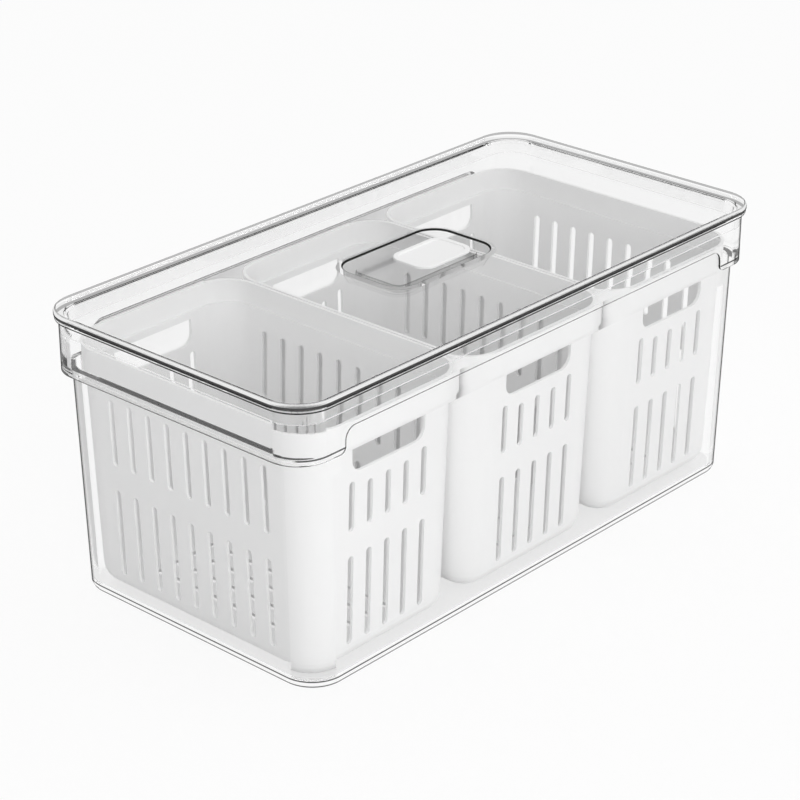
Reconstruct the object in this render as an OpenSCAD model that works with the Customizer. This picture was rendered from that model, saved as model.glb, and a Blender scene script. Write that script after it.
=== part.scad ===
// Clear fridge organizer bin with a vented lid and three perforated lift-out baskets.
// Millimetres. The origin is the middle of the underside, X runs along the bin, Z is up.

/* [Bin] */
// Length of the collar, outside
bin_length = 360; // [300:0.2:420]
// Width of the collar, outside
bin_width = 178; // [150:0.2:220]
// Height of the bin, to the top of its flange
bin_height = 155.4; // [135:0.2:190]
// Thickness of the walls
bin_wall = 2.2; // [1.6:0.1:2.8]
// Thickness of the floor
bin_floor = 3; // [2:0.1:4]
// Plan radius of the collar's corners, outside
collar_radius = 19; // [16:0.5:26]
// Depth of the collar, from the flange's top down to the ledge
collar_depth = 29.6; // [24:0.2:36]
// Step from the collar in to the body at the two ends
end_step = 6.1; // [4:0.1:8]
// Step from the collar in to the body along the two sides
side_step = 1.5; // [0.8:0.1:2.4]
// Inward lean of the end walls, over the height of the body
end_draft = 3.6; // [1:0.1:6]
// Inward lean of the side walls, over the height of the body
side_draft = 1.4; // [0.3:0.1:3]
// Plan radius of the body's corners, outside
body_radius = 18.6; // [15:0.2:24]
// Radius of the edge round the underside
foot_radius = 2.6; // [1:0.1:4]

/* [Finger grips] */
// Length of the raised part of the ledge along each side
grip_length = 298; // [220:1:304]
// Height by which the ledge rises there
grip_rise = 12.4; // [11:0.2:15]
// Radius of the S curve's upper bend
grip_upper_bend = 6.5; // [4:0.5:7]
// Radius of the S curve's lower bend
grip_lower_bend = 3.5; // [3:0.5:4]

/* [Flange] */
// Width of the flange beyond the collar
flange_overhang = 2; // [1.2:0.1:3]
// Thickness of the flange
flange_thickness = 2.2; // [1.4:0.1:3]

/* [Lid] */
// Height of the lid's edge bead above the flange
bead_height = 3.1; // [2.8:0.1:5]
// Distance from the skirt's outside in to the bead's inner side
bead_inset = 1; // [0.8:0.1:2]
// Radius of the bead's two upper edges
bead_round = 1.4; // [0.8:0.1:1.6]
// Radius of the fillet at the bead's inner foot
bead_fillet = 0.8; // [0.4:0.1:1]
// Bevel of the bead's lower outer edge
bead_bevel = 0.4; // [0.2:0.1:0.6]
// Overhang of the lid's edge beyond the flange
bead_overhang = 0.3; // [0:0.1:1]
// Depth of the panel's top below the top of the bead
panel_recess = 3.3; // [2.8:0.1:3.6]
// Thickness of the panel
panel_thickness = 2.4; // [1.8:0.1:3]
// Depth of the locating skirt below the lid's seat
skirt_depth = 9.4; // [6:0.2:12]
// Thickness of the locating skirt
skirt_thickness = 1.8; // [1.2:0.1:2.4]
// Gap between the skirt and the inside of the collar
skirt_clearance = 0.5; // [0.3:0.1:1]
// Gap between the lid's seat and the flange
seat_gap = 0.2; // [0.1:0.1:0.4]

/* [Vent] */
// Length of the dish round the vent
dish_length = 79.2; // [70:0.2:95]
// Width of the dish round the vent
dish_width = 48.4; // [42:0.2:60]
// Plan radius of the dish
dish_radius = 13; // [11:0.5:18]
// Depth of the dish below the panel
dish_depth = 8.2; // [6:0.2:8.6]
// Inward lean of the dish wall
dish_lean = 4.4; // [3:0.1:5]
// Distance from the dish's edge in to the island
dish_margin = 7.3; // [6.6:0.1:9]
// Depth of the island's top below the panel
island_drop = 2.5; // [2:0.1:4]
// Bevel of the island's upper edge
island_bevel = 0.5; // [0.2:0.1:0.8]
// Thickness of the vent's walls
vent_wall = 1.6; // [1.2:0.1:2]
// Length of the air opening in the island
opening_length = 36; // [28:0.5:40]
// Width of the air opening in the island
opening_width = 12; // [8:0.5:16]

/* [Slider] */
// Length of the slider
slider_length = 40.5; // [38:0.5:44]
// Width of the slider
slider_width = 27; // [22:0.2:30]
// Plan radius of the slider
slider_radius = 8; // [5:0.5:10]
// Thickness of the slider at its border
slider_thickness = 1.4; // [1.2:0.1:2.4]
// Width of the slider's border
slider_border = 3.2; // [2:0.1:4.5]
// Depth of the slider's bare middle
slider_dip = 0.6; // [0.3:0.1:0.9]
// Length of the neck that runs in the air opening
neck_length = 12; // [8:0.5:16]
// Reach of the neck's hooks under the island
hook_reach = 1.6; // [0.8:0.1:2]
// Thickness of the neck's hooks
hook_thickness = 1.2; // [0.8:0.1:2]
// Running gap of the slider
slide_gap = 0.25; // [0.2:0.05:0.5]

/* [Baskets] */
// Gap between the bin's end wall and the end basket
basket_end_gap = 2.3; // [1.5:0.1:6]
// Gap between the bin's side wall and the baskets
basket_side_gap = 0.5; // [0.4:0.1:1.5]
// Gap between neighbouring baskets
basket_gap = 0.8; // [0.5:0.1:2]
// Gap between a basket and the bin's floor
basket_seat_gap = 0.3; // [0.2:0.1:0.5]
// Distance from the flange's top down to the baskets' rims
basket_drop = 16.4; // [13:0.2:24]
// Thickness of a basket's walls
basket_wall = 1.7; // [1.2:0.1:2.2]
// Plan radius of a basket's rim, outside
rim_radius = 20.5; // [16:0.5:24]
// Height of the band under a basket's rim
band_height = 14; // [10:0.2:18]
// Step from the band in to the basket's body at the basket's ends
end_band_step = 1.2; // [0.8:0.1:2.4]
// Step from the band in to the basket's body along its sides
side_band_step = 2.2; // [1.2:0.1:3]
// Inward lean of a basket's walls, per millimetre of height
basket_lean = 0.034; // [0.02:0.002:0.06]
// Radius of the edge round a basket's base
base_radius = 11; // [6:0.5:12]

/* [Handles] */
// Length of the handle hole in each side of a basket
handle_length = 52; // [40:0.5:56]
// Height of the handle hole
handle_height = 14; // [12:0.5:18]
// Radius of the handle hole's lower corners
handle_radius = 7; // [3:0.5:7]
// Wall left between the band and the handle hole
handle_gap = 2; // [1:0.1:4]

/* [Slots] */
// Width of the slots
slot_width = 4; // [3:0.1:5]
// Spacing of the slots under the handle
side_slot_pitch = 12.9; // [10:0.1:16]
// Spacing of the slots in the end walls of a basket
end_slot_pitch = 13.4; // [10:0.1:16]
// Height of the plain strip between the two rows
slot_bridge = 13.7; // [8:0.1:20]
// Share of the slotted height that the lower row takes
lower_row_share = 0.57; // [0.45:0.01:0.6]
// Plain height between the band and the end walls' slots
slot_top_gap = 10.2; // [6:0.2:14]
// Plain height between the handle hole and the slots under it
slot_handle_gap = 7.4; // [4:0.2:10]
// Rise of the outer two slots beside the handle hole's round corners
slot_corner_rise = 3; // [0:0.2:5]

/* [Base holes] */
// Length of the drain holes in a basket's base
drain_length = 7; // [4:0.2:8]
// Width of the drain holes
drain_width = 4; // [3:0.2:6]

/* [Hidden] */
$fn = 64;
basket_count = 3;
corner_fn = 64;
arc_steps = 6;
overlap = 1;
slab_height = 0.01;

clear_colour = [0.86, 0.9, 0.93, 0.35];
white_colour = [0.96, 0.96, 0.96];

// Bin: half sizes of the collar, and of the body at the ledge and at the underside
collar_x = bin_length / 2;
collar_y = bin_width / 2;
body_x = collar_x - end_step;
body_y = collar_y - side_step;
foot_x = body_x - end_draft;
foot_y = body_y - side_draft;
ledge_z = bin_height - collar_depth;
grip_z = ledge_z + grip_rise;
mouth_x = collar_x - bin_wall;
mouth_y = collar_y - bin_wall;
inner_radius = collar_radius - bin_wall;

// Lid: half sizes of its edge and of its skirt, and its levels
lid_x = collar_x + flange_overhang + bead_overhang;
lid_y = collar_y + flange_overhang + bead_overhang;
lid_radius = collar_radius + flange_overhang + bead_overhang;
seat_z = bin_height + seat_gap;
lid_top_z = seat_z + bead_height;
panel_z = lid_top_z - panel_recess;
panel_under_z = panel_z - panel_thickness;
skirt_z = seat_z - skirt_depth;
skirt_radius = inner_radius - skirt_clearance;
bead_inner_radius = skirt_radius - bead_inset;
lid_centre_x = lid_x - lid_radius;
lid_centre_y = lid_y - lid_radius;

// Vent: corner centres of the dish and the island, and their levels
vent_x = dish_length / 2 - dish_radius;
vent_y = dish_width / 2 - dish_radius;
island_radius = dish_radius - dish_margin;
island_x = vent_x + island_radius;
island_z = panel_z - island_drop;
dish_floor_z = panel_z - dish_depth;

// Slider: it rests with its end flush with the island and covers the whole opening
slider_z = island_z + slide_gap;
slider_end_x = island_x - slide_gap;
slider_centre_x = slider_end_x - slider_length / 2;
opening_end_x = slider_end_x - (slider_length - opening_length) / 2;
neck_end_x = opening_end_x - slide_gap;
neck_width = opening_width - 2 * slide_gap;
hook_z = island_z - vent_wall - slide_gap;

// Baskets: size of one rim, spacing and levels
basket_row = 2 * (body_x - bin_wall - basket_end_gap);
rim_x = (basket_row - (basket_count - 1) * basket_gap) / basket_count / 2;
rim_y = body_y - bin_wall - basket_side_gap;
basket_pitch = 2 * rim_x + basket_gap;
rim_centre_x = rim_x - rim_radius;
rim_centre_y = rim_y - rim_radius;
basket_radius = rim_radius - (end_band_step + side_band_step) / 2;
basket_x = rim_x - end_band_step - basket_radius;
basket_y = rim_y - side_band_step - basket_radius;
base_z = bin_floor + basket_seat_gap;
rim_z = bin_height - basket_drop;
band_z = rim_z - band_height;
wall_angle = atan(basket_lean);

// Slots: levels of the two rows
row_base_z = base_z + base_radius;
row_top_z = band_z - slot_top_gap;
bridge_z = row_base_z + (row_top_z - row_base_z - slot_bridge) * lower_row_share;
upper_row_z = bridge_z + slot_bridge;
handle_top_z = band_z - handle_gap;
handle_base_z = handle_top_z - handle_height;
side_slots = floor((handle_length + slot_width) / side_slot_pitch) + 1;
end_slots = floor((2 * basket_y - 3 * slot_width) / end_slot_pitch) + 1;

// Points on an arc about a centre, from one angle to another
function arc(centre, radius, from, to) =
    [for (i = [0 : arc_steps])
        let (a = from + (to - from) * i / arc_steps)
        centre + radius * [cos(a), sin(a)]];

// Radius of a basket's outer corners at a height on its leaning body
function basket_body_radius(z) = basket_radius - basket_lean * (band_z - z);

// Section carried round a rectangle with quarter-turn corners; a section's x is measured
// outward from the corner centres, and its y is the height
module carried_round(centre_x, centre_y) {
    for (sx = [0, 1], sy = [0, 1])
        mirror([sx, 0, 0]) mirror([0, sy, 0])
            translate([centre_x, centre_y, 0]) rotate_extrude(angle = 90) children();
    for (sx = [0, 1])
        mirror([sx, 0, 0])
            translate([centre_x, centre_y, 0]) rotate([90, 0, 0])
                linear_extrude(2 * centre_y) children();
    for (sy = [0, 1])
        mirror([0, sy, 0])
            translate([-centre_x, centre_y, 0]) rotate([90, 0, 90])
                linear_extrude(2 * centre_x) children();
}

// Plate that fills the rectangle between the corner centres
module middle_plate(centre_x, centre_y, low, high) {
    translate([-centre_x, -centre_y, low]) cube([2 * centre_x, 2 * centre_y, high - low]);
}

// Upright block with round plan corners
module round_block(centre_x, centre_y, radius, low, high) {
    carried_round(centre_x, centre_y)
        translate([0, low]) square([radius, high - low]);
    middle_plate(centre_x, centre_y, low, high);
}

// Thin slab with round plan corners, for the leaning walls
module round_slab(half_x, half_y, radius, z) {
    for (sx = [-1, 1], sy = [-1, 1])
        translate([sx * (half_x - radius), sy * (half_y - radius), z])
            cylinder(r = radius, h = slab_height, $fn = corner_fn);
}

// Leaning tub of the bin, drawn in by an inset on every side
module body_tub(inset, low, high, edge) {
    function lean(z) = max(0, 1 - z / ledge_z);
    function half_x(z) = body_x - end_draft * lean(z) - inset;
    function half_y(z) = body_y - side_draft * lean(z) - inset;
    bevel = edge * (1 - sqrt(0.5));
    hull() {
        round_slab(half_x(low) - edge, half_y(low) - edge, body_radius - inset - edge, low);
        round_slab(half_x(low) - bevel, half_y(low) - bevel, body_radius - inset - bevel, low + bevel);
        round_slab(half_x(low + edge), half_y(low + edge), body_radius - inset, low + edge);
        round_slab(half_x(high), half_y(high), body_radius - inset, high - slab_height);
    }
}

// Collar with its ledge and flange
module collar() {
    flange_radius = collar_radius + flange_overhang;
    flange_round = flange_thickness / 2;
    shelf_radius = collar_radius - end_step - bin_wall;
    carried_round(collar_x - collar_radius, collar_y - collar_radius)
        polygon(concat(
            [[shelf_radius, ledge_z], [collar_radius, ledge_z]],
            [[collar_radius, bin_height - flange_thickness]],
            arc([flange_radius - flange_round, bin_height - flange_round], flange_round, -90, 90),
            [[inner_radius, bin_height], [inner_radius, ledge_z + bin_wall]],
            [[shelf_radius, ledge_z + bin_wall]]));
}

// Outline of the raised ledge of a finger grip, with an S curve at each end, grown outward
module grip_outline(grow) {
    half = grip_length / 2;
    upper = grip_upper_bend;
    lower = grip_lower_bend;
    right = concat(
        arc([half + lower, ledge_z + lower], lower - grow, -90, -180),
        arc([half - upper, grip_z - upper], upper + grow, 0, 90));
    low = ledge_z - overlap;
    polygon(concat(
        [[-half - lower, low], [half + lower, low]], right,
        [for (i = [len(right) - 1 : -1 : 0]) [-right[i][0], right[i][1]]]));
}

module outer_bin() {
    color(clear_colour)
        difference() {
            union() {
                body_tub(0, 0, ledge_z + bin_wall, foot_radius);
                difference() {
                    collar();
                    for (sy = [0, 1])
                        mirror([0, sy, 0]) translate([0, collar_y + overlap, 0]) rotate([90, 0, 0])
                            linear_extrude(side_step + overlap) grip_outline(0);
                }
                for (sy = [0, 1])
                    mirror([0, sy, 0]) translate([0, body_y, 0]) rotate([90, 0, 0])
                        linear_extrude(bin_wall) grip_outline(bin_wall);
            }
            body_tub(bin_wall, bin_floor, ledge_z + bin_wall + overlap, foot_radius);
        }
}

// Lid's edge bead, panel and locating skirt in one section
module lid_section() {
    polygon(concat(
        [[0, panel_under_z], [skirt_radius - skirt_thickness, panel_under_z]],
        [[skirt_radius - skirt_thickness, skirt_z], [skirt_radius, skirt_z]],
        [[skirt_radius, seat_z], [lid_radius - bead_bevel, seat_z], [lid_radius, seat_z + bead_bevel]],
        arc([lid_radius - bead_round, lid_top_z - bead_round], bead_round, 0, 90),
        arc([bead_inner_radius + bead_round, lid_top_z - bead_round], bead_round, 90, 180),
        arc([bead_inner_radius - bead_fillet, panel_z + bead_fillet], bead_fillet, 0, -90),
        [[0, panel_z]]));
}

// Dish wall, dish floor and the hollow island of the vent in one section
module vent_section() {
    dish_foot = dish_radius - dish_lean;
    polygon([
        [0, island_z], [island_radius - island_bevel, island_z], [island_radius, island_z - island_bevel],
        [island_radius, dish_floor_z], [dish_foot, dish_floor_z], [dish_radius, panel_z],
        [dish_radius + vent_wall, panel_z], [dish_radius + vent_wall, panel_under_z],
        [dish_foot + vent_wall, dish_floor_z - vent_wall],
        [island_radius - vent_wall, dish_floor_z - vent_wall],
        [island_radius - vent_wall, island_z - vent_wall], [0, island_z - vent_wall]]);
}

module lid() {
    color(clear_colour)
        difference() {
            union() {
                difference() {
                    union() {
                        carried_round(lid_centre_x, lid_centre_y) lid_section();
                        middle_plate(lid_centre_x, lid_centre_y, panel_under_z, panel_z);
                    }
                    middle_plate(vent_x, vent_y, panel_under_z - overlap, panel_z + overlap);
                    carried_round(vent_x, vent_y)
                        translate([0, panel_under_z - overlap])
                            square([dish_radius, panel_thickness + 2 * overlap]);
                }
                carried_round(vent_x, vent_y) vent_section();
                middle_plate(vent_x, vent_y, island_z - vent_wall, island_z);
            }
            translate([opening_end_x - opening_length, -opening_width / 2, dish_floor_z])
                cube([opening_length, opening_width, dish_depth]);
        }
}

// Slider's plate: a raised border round a bare dipped middle
module slider_section() {
    top = slider_z + slider_thickness;
    edge = slider_thickness / 3;
    inner = slider_radius - slider_border;
    polygon(concat(
        [[0, slider_z], [slider_radius, slider_z]],
        arc([slider_radius - edge, top - edge], edge, 0, 90),
        [[inner + slider_dip, top], [inner, top - slider_dip], [0, top - slider_dip]]));
}

module vent_slider() {
    plate_x = slider_length / 2 - slider_radius;
    plate_y = slider_width / 2 - slider_radius;
    hook_width = neck_width + 2 * hook_reach;
    color(white_colour) {
        translate([slider_centre_x, 0, 0]) {
            carried_round(plate_x, plate_y) slider_section();
            middle_plate(plate_x, plate_y, slider_z, slider_z + slider_thickness - slider_dip);
        }
        translate([neck_end_x - neck_length, -neck_width / 2, hook_z - hook_thickness])
            cube([neck_length, neck_width, slider_z - hook_z + hook_thickness]);
        translate([neck_end_x - neck_length, -hook_width / 2, hook_z - hook_thickness])
            cube([neck_length, hook_width, hook_thickness]);
    }
}

// Half section of a basket's body, or of the hollow in it when drawn in by the wall
module basket_section(inset, top) {
    edge_z = base_z + base_radius;
    edge_end_z = edge_z - base_radius * sin(wall_angle);
    edge_x = basket_body_radius(edge_end_z) - base_radius * cos(wall_angle);
    shift = inset / cos(wall_angle);
    polygon(concat(
        [[0, base_z + inset]],
        arc([edge_x, edge_z], base_radius - inset, -90, -wall_angle),
        [[basket_body_radius(top) - shift, top], [0, top]]));
}

// Basket's body under its band, or the hollow in it when drawn in by the wall
module basket_body(inset, top) {
    carried_round(basket_x, basket_y) basket_section(inset, top);
    middle_plate(basket_x, basket_y, base_z + inset, top);
}

// Upright slot with round ends, in the plane of a wall
module slot(x, low, high) {
    r = slot_width / 2;
    translate([x - r, low + r]) square([slot_width, high - low - slot_width]);
    for (z = [low + r, high - r]) translate([x, z]) circle(r);
}

// Handle hole with square upper and round lower corners
module handle_outline() {
    half = handle_length / 2;
    r = handle_radius;
    polygon(concat(
        [[half, handle_top_z], [-half, handle_top_z]],
        arc([-half + r, handle_base_z + r], r, 180, 270),
        arc([half - r, handle_base_z + r], r, 270, 360)));
}

// Cuts through both sides of a basket: the handle hole and two rows of slots
module side_cuts() {
    top = handle_base_z - slot_handle_gap;
    last = side_slots - 1;
    rotate([90, 0, 0])
        linear_extrude(2 * (rim_y + overlap), center = true) {
            handle_outline();
            for (i = [0 : last]) {
                x = (i - last / 2) * side_slot_pitch;
                slot(x, row_base_z, bridge_z);
                slot(x, upper_row_z, top + (i == 0 || i == last ? slot_corner_rise : 0));
            }
        }
}

// Cuts through both ends of a basket: two rows of slots
module end_cuts() {
    rotate([90, 0, 90])
        linear_extrude(2 * (rim_x + overlap), center = true)
            for (i = [0 : end_slots - 1]) {
                y = (i - (end_slots - 1) / 2) * end_slot_pitch;
                slot(y, row_base_z, bridge_z);
                slot(y, upper_row_z, row_top_z);
            }
}

// Drain holes through the base, in line with the slots
module base_cuts() {
    for (i = [0 : side_slots - 1], j = [0 : end_slots - 1])
        translate([
            (i - (side_slots - 1) / 2) * side_slot_pitch - drain_width / 2,
            (j - (end_slots - 1) / 2) * end_slot_pitch - drain_length / 2,
            base_z - overlap])
            cube([drain_width, drain_length, basket_wall + 2 * overlap]);
}

// One basket, at its place in the row
module basket(place) {
    color(white_colour)
        translate([place * basket_pitch, 0, 0])
            difference() {
                union() {
                    basket_body(0, band_z + basket_wall / 2);
                    round_block(rim_centre_x, rim_centre_y, rim_radius, band_z, rim_z);
                }
                basket_body(basket_wall, band_z + 2 * basket_wall);
                round_block(
                    rim_centre_x, rim_centre_y, rim_radius - basket_wall,
                    band_z + basket_wall, rim_z + overlap);
                side_cuts();
                end_cuts();
                base_cuts();
            }
}

module basket_left() { basket(-1); }
module basket_middle() { basket(0); }
module basket_right() { basket(1); }

outer_bin();
lid();
vent_slider();
basket_left();
basket_middle();
basket_right();
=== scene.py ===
"""Looks of a clear fridge organizer bin with a vented lid and three white slotted baskets.

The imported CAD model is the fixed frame: every piece of it keeps its place and its mesh, and
this script gives each one its finish, then adds the studio and the camera. Metres, Z up.
"""

from __future__ import annotations

import logging
import math
from dataclasses import dataclass
from enum import Enum
from typing import Union

import bmesh
import bpy
from mathutils import Matrix, Vector


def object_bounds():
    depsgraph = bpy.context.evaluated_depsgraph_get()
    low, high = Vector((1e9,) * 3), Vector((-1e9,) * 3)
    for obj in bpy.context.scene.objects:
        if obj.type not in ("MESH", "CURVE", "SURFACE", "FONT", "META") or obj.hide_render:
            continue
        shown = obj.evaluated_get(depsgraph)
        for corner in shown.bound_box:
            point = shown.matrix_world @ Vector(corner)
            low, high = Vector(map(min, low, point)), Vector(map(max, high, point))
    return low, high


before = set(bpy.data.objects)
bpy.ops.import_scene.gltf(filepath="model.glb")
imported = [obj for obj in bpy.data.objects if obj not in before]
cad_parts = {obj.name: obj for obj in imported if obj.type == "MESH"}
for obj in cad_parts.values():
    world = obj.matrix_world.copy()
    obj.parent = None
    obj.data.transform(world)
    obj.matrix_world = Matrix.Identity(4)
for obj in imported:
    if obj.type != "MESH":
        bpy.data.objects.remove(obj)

CAD_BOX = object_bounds()
MILLIMETRE = 0.001
LOG = logging.getLogger("fridge_bin")

# Centres of the plan corners of the rim, the foot and the vent's dish, in millimetres
RIM_MIDDLE = (161.0, 70.0)
FOOT_MIDDLE = (151.8, 67.5)
DISH_MIDDLE = (26.6, 11.2)

# Half the width over which a zone fades along the bin, in millimetres
END_SOFT = 1.0

# Share of each finer layer in a noise
NOISE_FALL = 0.55

WHITE = (1.0, 1.0, 1.0)
SENSOR_MILLIMETRES = 36.0
NEAREST_SEEN = 0.05

Triple = tuple[float, float, float]
Span = tuple[float, float]
Number = Union[int, float]


class Ray(Enum):
    """The kinds of ray that a material can tell apart, by their Light Path outputs."""

    CAMERA = "Is Camera Ray"
    SHADOW = "Is Shadow Ray"
    DIFFUSE = "Is Diffuse Ray"
    GLOSSY = "Is Glossy Ray"
    TRANSMISSION = "Is Transmission Ray"


class Side(Enum):
    """The sides from which a zone of a clear moulding shows."""

    BOTH = "both"
    OUTSIDE = "outside"
    INSIDE = "inside"


class Value:
    """A number that changes over a surface: a socket with Python's arithmetic on it."""

    def __init__(self, graph: Graph, socket: bpy.types.NodeSocket) -> None:
        """Wrap an output socket of a graph's node.

        Args:
            graph: The graph that the socket belongs to.
            socket: The output that gives the number.
        """
        self.graph = graph
        self.socket = socket

    def _math(self, operation: str, first: Term, second: Term) -> Value:
        """Add one Math node.

        Args:
            operation: The Math node's operation.
            first: Its first operand.
            second: Its second operand.

        Returns:
            The node's result.
        """
        node = self.graph.node("ShaderNodeMath", {"operation": operation}, {0: first, 1: second})
        return Value(self.graph, node.outputs[0])

    def __add__(self, other: Term) -> Value:
        """Sum with another value or a number."""
        return self._math("ADD", self, other)

    def __radd__(self, other: Number) -> Value:
        """Sum with a number on the left."""
        return self._math("ADD", other, self)

    def __sub__(self, other: Term) -> Value:
        """Difference from another value or a number."""
        return self._math("SUBTRACT", self, other)

    def __rsub__(self, other: Number) -> Value:
        """Difference of a number on the left."""
        return self._math("SUBTRACT", other, self)

    def __mul__(self, other: Term) -> Value:
        """Product with another value or a number."""
        return self._math("MULTIPLY", self, other)

    def __rmul__(self, other: Number) -> Value:
        """Product with a number on the left."""
        return self._math("MULTIPLY", other, self)

    def __or__(self, other: Term) -> Value:
        """Greater of two values, so that either one of two masks is enough."""
        return self._math("MAXIMUM", self, other)

    def __abs__(self) -> Value:
        """Size without the sign."""
        return self._math("ABSOLUTE", self, 0.0)

    def __pow__(self, other: Term) -> Value:
        """Power of the value."""
        return self._math("POWER", self, other)

    def share(self, low: float, high: float) -> Value:
        """Rise evenly from 0 to 1 over a range.

        Args:
            low: The value that gives 0.
            high: The value that gives 1.

        Returns:
            The share of the way.
        """
        risen = (self - low) * (1 / (high - low))
        return self._math("MINIMUM", risen | 0.0, 1.0)

    def between(self, low: float, high: float) -> Value:
        """Rise smoothly from 0 to 1 over a range.

        Args:
            low: The value that gives 0.
            high: The value that gives 1.

        Returns:
            The share of the way.
        """
        node = self.graph.node(
            "ShaderNodeMapRange", {"interpolation_type": "SMOOTHSTEP"},
            {"Value": self, "From Min": low, "From Max": high})
        return Value(self.graph, node.outputs["Result"])

    def inside(self, low: float, high: float, soft: float) -> Value:
        """Mask of a range, with soft ends.

        Args:
            low: Start of the range.
            high: End of the range.
            soft: Half the width over which the mask fades at each end.

        Returns:
            The mask, 1 inside the range.
        """
        return self.between(low - soft, low + soft) - self.between(high - soft, high + soft)


Term = Union[Value, Number]
Feed = Union[Value, Number, tuple, bpy.types.NodeSocket]


class Graph:
    """Node tree of a material or of the world, cleared and ready to be filled."""

    def __init__(self, owner: bpy.types.ID, output: str) -> None:
        """Clear the owner's nodes and add its output.

        Args:
            owner: The material or world.
            output: Type of the output node.
        """
        owner.use_nodes = True
        self.tree = owner.node_tree
        self.tree.nodes.clear()
        self.output = self.tree.nodes.new(output)

    def node(
            self, kind: str, settings: dict[str, object],
            inputs: dict[Union[str, int], Feed]) -> bpy.types.Node:
        """Add one node.

        Args:
            kind: The node's type.
            settings: Its own settings.
            inputs: A number, colour or link for each of its sockets, by name or place.

        Returns:
            The new node.
        """
        made = self.tree.nodes.new(kind)
        for name, setting in settings.items():
            setattr(made, name, setting)
        for key, feed in inputs.items():
            self.feed(made.inputs[key], feed)
        return made

    def feed(self, socket: bpy.types.NodeSocket, feed: Feed) -> None:
        """Set an input socket, or link an output to it.

        Args:
            socket: The input.
            feed: A number, a colour, a value or an output socket.
        """
        if isinstance(feed, Value):
            self.tree.links.new(feed.socket, socket)
        elif isinstance(feed, bpy.types.NodeSocket):
            self.tree.links.new(feed, socket)
        elif socket.type == "RGBA" and isinstance(feed, tuple):
            socket.default_value = (*feed[:3], 1.0)
        else:
            socket.default_value = feed

    def finish(self, shader: bpy.types.NodeSocket) -> None:
        """Link the last shader to the output's surface."""
        self.tree.links.new(shader, self.output.inputs["Surface"])

    def place(self) -> bpy.types.NodeSocket:
        """Position on the piece in the frame's own metres."""
        return self.node("ShaderNodeTexCoord", {}, {}).outputs["Object"]

    def noise(self, size: float, detail: float, stretch: Triple = (1, 1, 1)) -> Value:
        """Smooth random value from about 0 to 1 over the piece.

        Args:
            size: Width of its larger spots, in metres.
            detail: Number of finer layers.
            stretch: How much the spots are lengthened along each axis.

        Returns:
            The value.
        """
        scale = tuple(1 / s for s in stretch)
        mapped = self.node("ShaderNodeMapping", {}, {"Vector": self.place(), "Scale": scale})
        made = self.node(
            "ShaderNodeTexNoise", {},
            {"Vector": mapped.outputs["Vector"], "Scale": 1 / size,
             "Detail": detail, "Roughness": NOISE_FALL})
        return Value(self, made.outputs["Fac"])

    def parts(self, vector: bpy.types.NodeSocket) -> tuple[Value, Value, Value]:
        """Split a vector into its X, Y and Z."""
        split = self.node("ShaderNodeSeparateXYZ", {}, {"Vector": vector})
        return tuple(Value(self, split.outputs[axis]) for axis in "XYZ")

    def direction(self) -> tuple[Value, Value, Value]:
        """Direction of a ray that reaches the world."""
        return self.parts(self.node("ShaderNodeTexCoord", {}, {}).outputs["Generated"])

    def surface(self) -> tuple[bpy.types.NodeSocket, Value]:
        """Normal of the surface, and a mask that is 1 where it is met from outside."""
        geometry = self.node("ShaderNodeNewGeometry", {}, {})
        return geometry.outputs["Normal"], 1 - Value(self, geometry.outputs["Backfacing"])

    def facing(self) -> Value:
        """Turn of the surface away from the ray: 0 seen square on, 1 seen edge on."""
        return Value(self, self.node("ShaderNodeLayerWeight", {}, {"Blend": 0.5}).outputs["Facing"])

    def ray(self, *kinds: Ray) -> Value:
        """Mask that is 1 for rays of any of these kinds.

        Args:
            kinds: The kinds of ray.

        Returns:
            The mask.
        """
        path = self.node("ShaderNodeLightPath", {}, {})
        masks = [Value(self, path.outputs[kind.value]) for kind in kinds]
        either = masks[0]
        for mask in masks[1:]:
            either = either | mask
        return either

    def mixed_colour(self, share: Feed, first: Feed, second: Feed) -> bpy.types.NodeSocket:
        """Lay one colour over another.

        Args:
            share: Share of the second colour.
            first: The colour below.
            second: The colour above.

        Returns:
            The mixed colour.
        """
        mix = self.node("ShaderNodeMix", {"data_type": "RGBA"}, {0: share, 6: first, 7: second})
        return mix.outputs[2]

    def mixed_shader(
            self, share: Feed, first: bpy.types.NodeSocket,
            second: bpy.types.NodeSocket) -> bpy.types.NodeSocket:
        """Mix two shaders.

        Args:
            share: Share of the second shader.
            first: The one shader.
            second: The other shader.

        Returns:
            The mixed shader.
        """
        return self.node("ShaderNodeMixShader", {}, {"Fac": share, 1: first, 2: second}).outputs["Shader"]

    def bump(self, height: Value, depth: float, strength: float) -> bpy.types.NodeSocket:
        """Normal that follows a small relief.

        Args:
            height: The relief, from 0 to 1.
            depth: Height of a whole step, in metres.
            strength: Share of the relief that is used.

        Returns:
            The normal.
        """
        made = self.node("ShaderNodeBump", {}, {"Strength": strength, "Distance": depth, "Height": height})
        return made.outputs["Normal"]


@dataclass(frozen=True)
class Spot:
    """Place on a moulding's surface, in millimetres.

    Attributes:
        along: Distance from the middle along the bin.
        across: Distance from the middle across the bin.
        height: Height above the underside.
        front: Mask of the faces that are met from outside.
    """

    along: Value
    across: Value
    height: Value
    front: Value

    def reach(self, middle: Span) -> Value:
        """Distance outward from the rectangle between the plan corners' centres.

        Args:
            middle: The centre of one plan corner.

        Returns:
            The distance.
        """
        along, across = ((part - limit) | 0.0 for part, limit in zip((self.along, self.across), middle))
        return (along * along + across * across) ** 0.5


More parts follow.
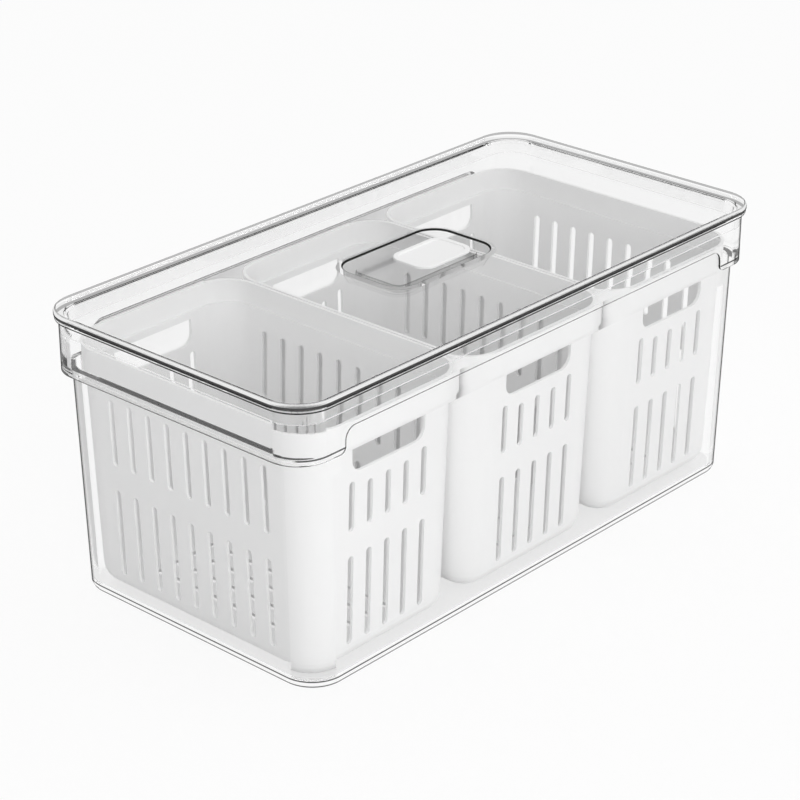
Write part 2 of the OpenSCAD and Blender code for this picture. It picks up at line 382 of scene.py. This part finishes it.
@dataclass(frozen=True)
class RimZone:
    """Zone of a clear moulding that runs round it at one height.

    Attributes:
        reach: Distances outward from the rectangle between the corner centres, in millimetres.
        height: Heights above the underside, in millimetres.
        share: Strength of the zone's effect.
        soft: Half the width over which it fades at each end.
        along: Distances along the bin from its middle, in millimetres.
        side: Sides of the surface on which it shows.
        middle: Centre of the plan corner that the zone follows, in millimetres.
    """

    reach: Span
    height: Span
    share: float = 1.0
    soft: float = 0.12
    along: Span = (-10.0, 200.0)
    side: Side = Side.BOTH
    middle: Span = RIM_MIDDLE

    def mask(self, spot: Spot) -> Value:
        """Mask of the zone.

        Args:
            spot: The place on the surface.

        Returns:
            The mask.
        """
        reach = spot.reach(self.middle)
        made = reach.inside(*self.reach, self.soft) * spot.height.inside(*self.height, self.soft)
        made = made * spot.along.inside(*self.along, END_SOFT) * self.share
        if self.side is Side.BOTH:
            return made
        return made * (spot.front if self.side is Side.OUTSIDE else 1 - spot.front)


@dataclass(frozen=True)
class ClearPlastic:
    """Polished clear moulding that bends light, with painted shade: lines painted darker along its edges
    where light is caught and bent in it.

    Attributes:
        name: Name of the material.
        painted_shade_zones: Zones along the edges where shade is painted.
        plain_zones: Zones that let light straight through, without bending it.
        tint: Colour of the light that passes through.
        bending: Refractive index.
        gloss_range: Least and greatest roughness over the surface.
        wave_size: Width of the mould's waves.
        wave_depth: Depth of the mould's waves.
        handling_size: Width of the patches of different gloss.
        handling_span: Values of their noise that give the least and the greatest roughness.
        shade: Colour of the light that falls through on what is behind.
        painted_shade_tone: Colour of the painted shade along the edges.
        painted_shade_turn: Turns away from the eye between which the upright corners get painted shade.
        painted_shade_share: Strength of the painted shade on the upright corners.
        corner_turn: Products of the normal's X and Y between which a wall counts as a corner.
        lean_turn: Z of the normal between which a face no longer counts as upright.
        flat_turn: Z of the normal between which a face counts as level.
        underside: Heights between which the underside's level face ends, in millimetres.
    """

    name: str
    painted_shade_zones: tuple[RimZone, ...]
    plain_zones: tuple[RimZone, ...]
    tint: Triple = (0.985, 0.985, 0.985)
    bending: float = 1.47
    gloss_range: Span = (0.0, 0.02)
    wave_size: float = 45 * MILLIMETRE
    wave_depth: float = 0.05 * MILLIMETRE
    handling_size: float = 60 * MILLIMETRE
    handling_span: Span = (0.35, 0.75)
    shade: Triple = (0.97, 0.97, 0.97)
    painted_shade_tone: Triple = (0.03, 0.03, 0.03)
    painted_shade_turn: Span = (0.64, 0.84)
    painted_shade_share: float = 0.9
    corner_turn: Span = (0.03, 0.12)
    lean_turn: Span = (0.3, 0.6)
    flat_turn: Span = (0.8, 0.95)
    underside: Span = (0.2, 0.4)

    def material(self) -> bpy.types.Material:
        """Make the material.

        Returns:
            The clear material.
        """
        made = bpy.data.materials.new(self.name)
        graph = Graph(made, "ShaderNodeOutputMaterial")
        low, high = self.gloss_range
        handling = graph.noise(self.handling_size, 3).share(*self.handling_span)
        waves = graph.noise(self.wave_size, 1)
        plastic = graph.node("ShaderNodeBsdfPrincipled", {}, {
            "Base Color": self.tint,
            "Transmission Weight": 1.0,
            "IOR": self.bending,
            "Roughness": low + handling * (high - low),
            "Normal": graph.bump(waves, self.wave_depth, 1.0),
        }).outputs["BSDF"]
        straight, passing = (
            graph.node("ShaderNodeBsdfTransparent", {}, {"Color": colour}).outputs["BSDF"]
            for colour in (WHITE, self.shade))
        # Matt black shader that carries the painted shade
        painted_shade_bsdf = graph.node("ShaderNodeBsdfPrincipled", {}, {
            "Base Color": self.painted_shade_tone, "Roughness": 1.0, "Specular IOR Level": 0.0}).outputs["BSDF"]
        plain, painted_shade = self._masks(graph)
        bent = graph.mixed_shader(plain, plastic, straight)
        # Lay the painted shade over the bent light where its mask is set
        with_painted_shade = graph.mixed_shader(painted_shade, bent, painted_shade_bsdf)
        graph.finish(graph.mixed_shader(graph.ray(Ray.SHADOW, Ray.DIFFUSE), with_painted_shade, passing))
        return made

    def _masks(self, graph: Graph) -> tuple[Value, Value]:
        """Make the masks of the plain zones and of the painted shade along the edges.

        Args:
            graph: The graph of the material.

        Returns:
            The two masks.
        """
        x, y, z = (part * (1 / MILLIMETRE) for part in graph.parts(graph.place()))
        normal, front = graph.surface()
        endward, sideward, upward = (abs(part) for part in graph.parts(normal))
        spot = Spot(abs(x), abs(y), z, front)
        corner = (endward * sideward).between(*self.corner_turn) * (1 - upward.between(*self.lean_turn))
        # Painted shade on the upright corners seen at a grazing angle, and in each painted shade zone
        # along the rims
        painted_shade = corner * front * graph.facing().between(*self.painted_shade_turn) * self.painted_shade_share
        for zone in self.painted_shade_zones:
            painted_shade = painted_shade | zone.mask(spot)
        underside = upward.between(*self.flat_turn) * (1 - z.between(*self.underside))
        plain = underside | (corner * (1 - front))
        for zone in self.plain_zones:
            plain = plain | zone.mask(spot)
        return plain, painted_shade


@dataclass(frozen=True)
class WhitePlastic:
    """Opaque white moulding with a fine spark-eroded grain and a little unevenness in its tone.

    Attributes:
        name: Name of the material.
        tone: Its colour.
        uneven_tone: Colour of its slightly darker flow patches.
        roughness_range: Least and greatest roughness over the surface.
        grain_size: Width of the grain.
        grain_depth: Depth of the grain.
        grain_share: Share of the grain's depth that shows.
        flow_size: Width of the flow patches.
        flow_stretch: How much they are lengthened along each axis.
        flow_span: Values of their noise that give the plain and the darker colour.
        bending: Refractive index, for the gloss.
    """

    name: str
    tone: Triple
    uneven_tone: Triple
    roughness_range: Span
    grain_size: float
    grain_depth: float
    grain_share: float = 0.6
    flow_size: float = 50 * MILLIMETRE
    flow_stretch: Triple = (1, 1, 3)
    flow_span: Span = (0.3, 0.7)
    bending: float = 1.46

    def material(self) -> bpy.types.Material:
        """Make the material.

        Returns:
            The white material.
        """
        made = bpy.data.materials.new(self.name)
        graph = Graph(made, "ShaderNodeOutputMaterial")
        low, high = self.roughness_range
        flow = graph.noise(self.flow_size, 3, self.flow_stretch).share(*self.flow_span)
        grain = graph.noise(self.grain_size, 2)
        shader = graph.node("ShaderNodeBsdfPrincipled", {}, {
            "Base Color": graph.mixed_colour(flow, self.tone, self.uneven_tone),
            "Roughness": low + grain * (high - low),
            "IOR": self.bending,
            "Normal": graph.bump(grain, self.grain_depth, self.grain_share),
        })
        graph.finish(shader.outputs["BSDF"])
        return made


class Finishes(Enum):
    """Every finish on the bin."""

    CLEAR_TUB = ClearPlastic(
        name="clear_tub",
        painted_shade_zones=(
            # Flange: painted shade on its underside, on the lower half of its round, and along its top
            RimZone((19.15, 30.0), (152.9, 153.5), 0.8),
            RimZone((19.15, 30.0), (153.3, 154.35), side=Side.OUTSIDE),
            RimZone((20.3, 30.0), (155.05, 155.6), 0.9, side=Side.OUTSIDE),
            # Collar: painted shade on its underside up to the grips, and round the ends
            RimZone((17.62, 18.75), (125.0, 138.7), along=(-10.0, 157.0)),
            RimZone((17.62, 18.75), (125.0, 126.5), 0.45, along=(157.0, 200.0)),
            # Painted shade on the shelf inside each end, and on the line level with it on the outside of
            # the corners
            RimZone((11.2, 14.4), (127.6, 128.4), 0.9, along=(166.0, 200.0)),
            RimZone((18.7, 19.3), (128.2, 129.1), 0.9, along=(149.0, 176.0), side=Side.OUTSIDE),
            # Foot: painted shade on the floor, on the outer round, and on the line above it on the wall
            RimZone((-1.0, 14.5), (2.7, 3.3), 0.12, side=Side.OUTSIDE, middle=FOOT_MIDDLE),
            RimZone((15.0, 30.0), (0.2, 1.7), 0.85, side=Side.OUTSIDE, middle=FOOT_MIDDLE),
            RimZone((17.4, 30.0), (3.9, 4.7), 0.9, side=Side.OUTSIDE, middle=FOOT_MIDDLE)),
        plain_zones=(
            # Inner face of the wall behind the grips, and at the corners
            RimZone((15.0, 16.65), (124.0, 141.3), along=(-10.0, 156.0)),
            RimZone((10.0, 16.65), (115.0, 128.6), along=(150.0, 166.0))))
    CLEAR_LID = ClearPlastic(
        name="clear_lid",
        painted_shade_zones=(
            # Edge bead: painted shade on its lower part, its top, and its outer face seen through it
            RimZone((20.5, 30.0), (155.0, 157.1), 0.95, soft=0.2, side=Side.OUTSIDE),
            RimZone((19.8, 30.0), (158.5, 159.0), 0.4, side=Side.OUTSIDE),
            RimZone((20.4, 30.0), (156.8, 158.4), 0.5, side=Side.INSIDE),
            # Vent: painted shade on the dish's rim and wall, then on the island's side and bevel
            RimZone((11.5, 13.2), (154.4, 155.5), side=Side.OUTSIDE, middle=DISH_MIDDLE),
            RimZone((7.0, 12.6), (147.0, 154.6), 0.08, side=Side.OUTSIDE, middle=DISH_MIDDLE),
            RimZone((5.2, 6.2), (147.2, 152.3), 0.25, side=Side.OUTSIDE, middle=DISH_MIDDLE),
            RimZone((5.2, 5.8), (152.35, 152.95), 0.45, side=Side.OUTSIDE, middle=DISH_MIDDLE)),
        plain_zones=(
            # Edge bead: its inner part, and its outer part met from inside
            RimZone((14.0, 19.9), (155.85, 160.0)),
            RimZone((19.9, 30.0), (156.3, 160.0), side=Side.INSIDE),
            # The whole vent below the panel's top
            RimZone((-1.0, 16.0), (145.0, 155.3), middle=DISH_MIDDLE)))
    BASKET = WhitePlastic(
        name="matte_white_basket", tone=(0.92, 0.92, 0.92), uneven_tone=(0.9, 0.9, 0.9),
        roughness_range=(0.45, 0.62), grain_size=0.7 * MILLIMETRE, grain_depth=0.03 * MILLIMETRE)
    SLIDER = WhitePlastic(
        name="satin_white_slider", tone=(0.95, 0.95, 0.95), uneven_tone=(0.94, 0.94, 0.94),
        roughness_range=(0.22, 0.34), grain_size=0.5 * MILLIMETRE, grain_depth=0.01 * MILLIMETRE)


@dataclass(frozen=True)
class Moulding:
    """One moulded piece of the bin: a CAD node with its finish.

    Attributes:
        node: Name of the CAD node.
        finish: Its finish.
        slot: The record's material slot; not used.
    """

    node: str
    finish: Finishes
    slot: str

    def dress(self, materials: dict[Finishes, bpy.types.Material]) -> None:
        """Give the node its material.

        Args:
            materials: The material of each finish.
        """
        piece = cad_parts[self.node]
        piece.data.materials.clear()
        piece.data.materials.append(materials[self.finish])
        LOG.info("%s: %s", self.node, self.finish.value.name)


@dataclass(frozen=True)
class PhotoCamera:
    """The photograph's view.

    Attributes:
        azimuth: Degrees round the object; 0 looks along +Y.
        elevation: Degrees above the horizon.
        roll: Degrees of tilt of the frame.
        distance: Distance from the origin along the view, in metres.
        right: Shift of the eye to the right, in metres.
        up: Shift of the eye upward, in metres.
        focal_pixels: Focal length in pixels of the photograph.
        frame_pixels: Width of the photograph in pixels.
    """

    azimuth: float = -47.9059
    elevation: float = 25.3378
    roll: float = -0.038
    distance: float = 1.3998685
    right: float = -0.0088806
    up: float = 0.065484
    focal_pixels: float = 2550.4447
    frame_pixels: float = 800.0

    def build(self) -> bpy.types.Object:
        """Make the camera and set it as the scene's.

        Returns:
            The camera.
        """
        turn, lift, tilt = (math.radians(v) for v in (self.azimuth, self.elevation, self.roll))
        back = Vector((math.sin(turn) * math.cos(lift), -math.cos(turn) * math.cos(lift), math.sin(lift)))
        level = Vector((math.cos(turn), math.sin(turn), 0.0))
        upright = back.cross(level)
        right = math.cos(tilt) * level + math.sin(tilt) * upright
        up = math.cos(tilt) * upright - math.sin(tilt) * level
        data = bpy.data.cameras.new("photo_camera")
        data.sensor_width = SENSOR_MILLIMETRES
        data.lens = self.focal_pixels / self.frame_pixels * data.sensor_width
        data.clip_start = NEAREST_SEEN
        camera = bpy.data.objects.new("photo_camera", data)
        bpy.context.scene.collection.objects.link(camera)
        camera.matrix_world = Matrix((right, up, back)).transposed().to_4x4()
        camera.location = back * self.distance + right * self.right + up * self.up
        bpy.context.scene.camera = camera
        LOG.info("photo_camera: lens %.2f mm", data.lens)
        return camera


@dataclass(frozen=True)
class SoftBox:
    """One rectangular studio lamp that points at the bin, and that its gloss doesn't mirror.

    Attributes:
        name: Name of the lamp.
        azimuth: Degrees round the object; 0 is the -Y side, and 90 the +X side.
        elevation: Degrees above the floor.
        distance: Distance from the bin's middle.
        width: Width of the lamp.
        height: Height of the lamp.
        power: Power in watts.
    """

    name: str
    azimuth: float
    elevation: float
    distance: float
    width: float
    height: float
    power: float

    def build(self, target: Vector) -> bpy.types.Object:
        """Make the lamp.

        Args:
            target: The point that it faces.

        Returns:
            The lamp.
        """
        data = bpy.data.lights.new(self.name, "AREA")
        data.shape = "RECTANGLE"
        data.size = self.width
        data.size_y = self.height
        data.energy = self.power
        lamp = bpy.data.objects.new(self.name, data)
        bpy.context.scene.collection.objects.link(lamp)
        lamp.visible_glossy = False
        turn, lift = math.radians(self.azimuth), math.radians(self.elevation)
        away = Vector((math.sin(turn) * math.cos(lift), -math.cos(turn) * math.cos(lift), math.sin(lift)))
        lamp.location = target + away * self.distance
        lamp.rotation_euler = away.to_track_quat("Z", "Y").to_euler()
        LOG.info("%s: %.1f W", self.name, self.power)
        return lamp


@dataclass(frozen=True)
class Studio:
    """White floor, soft lamps and the surround that clear edges pick up.

    Attributes:
        floor_size: Side of the square floor.
        floor_drop: Distance of the floor below the bin's underside.
        floor_tone: Colour of the floor.
        shadow_share: Share of the lit floor in what the camera sees; the rest is plain white.
        through_share: Share of the lit floor in what is seen through the clear plastic.
        surround_light: Strength of the light from the front and the right.
        left_light: Strength of the light from the left end.
        left_turn: X of the directions between which the one gives way to the other.
        gleam: Strength of the surround that clear edges and gloss pick up.
        lamps: The lamps.
    """

    floor_size: float = 12.0
    floor_drop: float = 0.3 * MILLIMETRE
    floor_tone: Triple = (0.9, 0.9, 0.9)
    shadow_share: float = 0.12
    through_share: float = 0.5
    surround_light: float = 0.91
    left_light: float = 0.24
    left_turn: Span = (0.1, -0.8)
    gleam: float = 0.85
    lamps: tuple[SoftBox, ...] = (
        SoftBox("key_lamp", -41.0, 18.0, 2.0, 1.4, 0.9, 14.0),
        SoftBox("fill_lamp", 58.0, 24.0, 2.4, 1.6, 1.2, 3.0),
        SoftBox("top_lamp", 150.0, 75.0, 2.2, 1.8, 1.4, 4.0),
    )

    def build(self) -> None:
        """Make the floor, the lamps and the world."""
        self._floor()
        low, high = CAD_BOX
        middle = (low + high) / 2
        for lamp in self.lamps:
            lamp.build(middle)
        self._world()

    def _floor(self) -> None:
        """Make the floor, plain white to the eye but for the bin's shadow."""
        mesh = bpy.data.meshes.new("floor")
        shape = bmesh.new()
        bmesh.ops.create_grid(shape, x_segments=1, y_segments=1, size=self.floor_size / 2)
        shape.to_mesh(mesh)
        shape.free()
        floor = bpy.data.objects.new("floor", mesh)
        bpy.context.scene.collection.objects.link(floor)
        floor.location.z = -self.floor_drop
        made = bpy.data.materials.new("white_floor")
        graph = Graph(made, "ShaderNodeOutputMaterial")
        lit = graph.node("ShaderNodeBsdfDiffuse", {}, {"Color": self.floor_tone}).outputs["BSDF"]
        plain = graph.node("ShaderNodeEmission", {}, {"Color": WHITE, "Strength": 1.0}).outputs["Emission"]
        direct = graph.ray(Ray.CAMERA, Ray.GLOSSY) * (1 - self.shadow_share)
        through = graph.ray(Ray.TRANSMISSION) * (1 - self.through_share)
        graph.finish(graph.mixed_shader(direct | through, lit, plain))
        mesh.materials.append(made)
        LOG.info("floor: %.1f m", self.floor_size)

    def _world(self) -> None:
        """Light the bin from all round, white where the camera looks past it."""
        world = bpy.data.worlds.new("surround")
        bpy.context.scene.world = world
        graph = Graph(world, "ShaderNodeOutputWorld")
        strengths = (self.surround_light, self.left_light, self.gleam, 1.0)
        right, left, gleam, white = (
            graph.node("ShaderNodeBackground", {}, {"Color": WHITE, "Strength": s}).outputs["Background"]
            for s in strengths)
        leftward = graph.direction()[0].between(*self.left_turn)
        light = graph.mixed_shader(leftward, right, left)
        mirrored = graph.mixed_shader(graph.ray(Ray.GLOSSY, Ray.TRANSMISSION), light, gleam)
        graph.finish(graph.mixed_shader(graph.ray(Ray.CAMERA), mirrored, white))
        LOG.info("surround: strength %.2f", self.surround_light)


@dataclass
class FridgeBin:
    """The whole bin: the clear tub and lid, the slider and the three baskets."""

    tub: Moulding = Moulding("outer_bin", Finishes.CLEAR_TUB, "clear_plastic")
    lid: Moulding = Moulding("lid", Finishes.CLEAR_LID, "clear_plastic")
    slider: Moulding = Moulding("vent_slider", Finishes.SLIDER, "white_slider")
    basket_places: tuple[str, ...] = ("left", "middle", "right")

    def dress(self) -> None:
        """Dress every piece."""
        materials = {finish: finish.value.material() for finish in Finishes}
        baskets = [
            Moulding(f"basket_{place}", Finishes.BASKET, "white_basket")
            for place in self.basket_places]
        for piece in (self.tub, self.lid, self.slider, *baskets):
            piece.dress(materials)


def main() -> None:
    """Dress the bin and set up the studio and the camera."""
    logging.basicConfig(level=logging.INFO, format="%(name)s: %(message)s")
    bpy.context.scene.view_settings.view_transform = "Standard"
    PhotoCamera().build()
    FridgeBin().dress()
    Studio().build()


if __name__ == "__main__":
    main()
